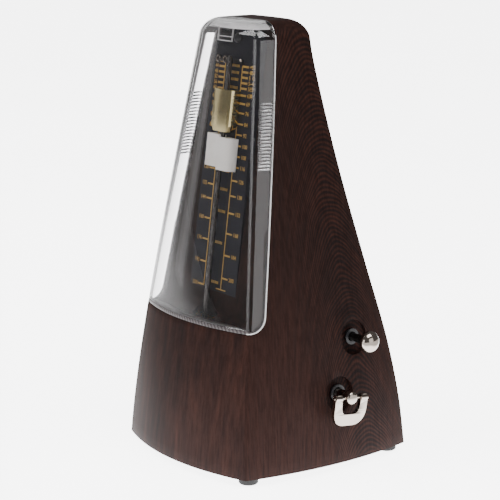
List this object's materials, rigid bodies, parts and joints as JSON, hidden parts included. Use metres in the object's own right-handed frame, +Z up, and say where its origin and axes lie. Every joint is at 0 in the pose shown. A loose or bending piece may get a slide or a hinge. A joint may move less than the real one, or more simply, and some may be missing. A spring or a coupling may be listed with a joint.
{
  "type": "metronome",
  "caption": "Mechanical metronome: tapering wood-grain case, clear front cover, pendulum with sliding weight before a tempo dial, winding key and beat selector at the side.",
  "frame": {"origin": "centre of the bounding box, on the surface the feet stand on", "axes": "+Z up, -Y out of the front cover, +X towards the side with the winding key"},
  "size_m": [0.1212, 0.114, 0.22],
  "materials": {
    "wood_plastic": "satin wood-grain print",
    "black_plastic": "satin",
    "clear_plastic": "clear, polished",
    "dial_black": "satin with gold print",
    "rubber": "matt",
    "steel": "brushed",
    "nickel": "polished nickel",
    "gold_plate": "polished gold plate",
    "brass": "satin",
    "dark_steel": "blackened",
    "spring_steel": "blued",
    "cast_iron": "as cast",
    "foam": "open-cell foam"
  },
  "bodies": {
    "case": {"case_shell": "wood_plastic", "base_plate": "black_plastic", "foot_front_left": "rubber", "foot_front_right": "rubber", "foot_rear_left": "rubber", "foot_rear_right": "rubber", "base_screw_1": "dark_steel", "base_screw_2": "dark_steel", "base_screw_3": "dark_steel", "base_screw_4": "dark_steel", "dial_plate": "dial_black", "cover_catch": "black_plastic", "pendulum_clip": "nickel", "pendulum_bracket_front": "brass", "pendulum_bracket_rear": "brass", "frame_plate_left": "brass", "frame_plate_right": "brass", "frame_pillar_1": "brass", "frame_pillar_2": "brass", "frame_pillar_3": "brass", "frame_pillar_4": "brass", "mainspring_barrel": "brass", "mainspring": "spring_steel", "bell": "nickel", "bell_post": "steel", "bell_nut": "steel", "key_bush": "black_plastic", "selector_bush": "black_plastic"},
    "cover": {"front_cover": "clear_plastic"},
    "pendulum": {"pendulum_rod": "steel", "pendulum_arbor": "steel", "pallet_left": "spring_steel", "pallet_right": "spring_steel", "pendulum_bob": "cast_iron"},
    "weight": {"sliding_weight": "gold_plate", "weight_spring": "spring_steel"},
    "foam": {"transit_foam": "foam"},
    "winding": {"winding_arbor": "steel", "ratchet_wheel": "steel", "key_hub": "nickel", "key_pin": "nickel"},
    "key_ring": {"key_ring": "nickel"},
    "great_wheel": {"great_wheel": "brass", "click_stud": "steel", "click_spring": "spring_steel"},
    "click": {"click_pawl": "steel"},
    "second": {"second_arbor": "steel", "second_pinion": "steel", "second_wheel": "brass", "bell_cam_drum": "brass"},
    "escape": {"escape_arbor": "steel", "escape_pinion": "steel", "escape_wheel": "brass"},
    "selector": {"selector_rod": "dark_steel", "selector_knob": "nickel", "selector_collar_left": "brass", "selector_collar_right": "brass"},
    "hammer": {"hammer_arm": "spring_steel", "hammer_head": "brass"}
  },
  "joints": [
    {"name": "cover_pull_off", "type": "slide", "parent": "case", "child": "cover", "axis": [0, -0.9879, 0.1551], "range_m": [0, 0.09]},
    {"name": "pendulum_swing", "type": "hinge", "parent": "case", "child": "pendulum", "pos_m": [-0.00397, -0.03532, 0.067], "axis": [0, -0.9922, 0.1246], "range_deg": [-7, 7]},
    {"name": "weight_slide", "type": "slide", "parent": "pendulum", "child": "weight", "axis": [0, 0.1246, 0.9922], "range_m": [-0.066, 0.011]},
    {"name": "foam_slide", "type": "slide", "parent": "pendulum", "child": "foam", "axis": [0, 0.1246, 0.9922], "range_m": [-0.066, 0.011]},
    {"name": "key_turn", "type": "hinge", "parent": "case", "child": "winding", "pos_m": [-0.00397, 0.00828, 0.0385], "axis": [1, 0, 0], "continuous": true},
    {"name": "key_ring_fold", "type": "hinge", "parent": "winding", "child": "key_ring", "pos_m": [0.05773, 0.00828, 0.0385], "axis": [0, -0.994, 0.1097], "range_deg": [-15, 195]},
    {"name": "great_wheel_turn", "type": "hinge", "parent": "case", "child": "great_wheel", "pos_m": [-0.00397, 0.00828, 0.0385], "axis": [1, 0, 0], "continuous": true},
    {"name": "second_turn", "type": "hinge", "parent": "case", "child": "second", "pos_m": [-0.00397, -0.00003, 0.06229], "axis": [1, 0, 0], "continuous": true},
    {"name": "escape_turn", "type": "hinge", "parent": "case", "child": "escape", "pos_m": [-0.00397, -0.01972, 0.055], "axis": [1, 0, 0], "continuous": true},
    {"name": "click_lift", "type": "hinge", "parent": "great_wheel", "child": "click", "pos_m": [0.01283, 0.00828, 0.0515], "axis": [1, 0, 0], "range_deg": [-14, 0], "stiffness_Nm_per_rad": 0.0005, "springref_deg": 17.19},
    {"name": "selector_pull", "type": "slide", "parent": "case", "child": "selector", "axis": [1, 0, 0], "range_m": [-0.008, 0]},
    {"name": "hammer_swing", "type": "hinge", "parent": "selector", "child": "hammer", "pos_m": [-0.00997, 0.02048, 0.0645], "axis": [1, 0, 0], "range_deg": [0, 10], "stiffness_Nm_per_rad": 0.01, "springref_deg": -5.73}
  ],
  "couplings": [
    {"joint": "foam_slide", "follows": "weight_slide", "ratio": 1},
    {"joint": "second_turn", "follows": "great_wheel_turn", "ratio": -5},
    {"joint": "escape_turn", "follows": "great_wheel_turn", "ratio": 20}
  ]
}
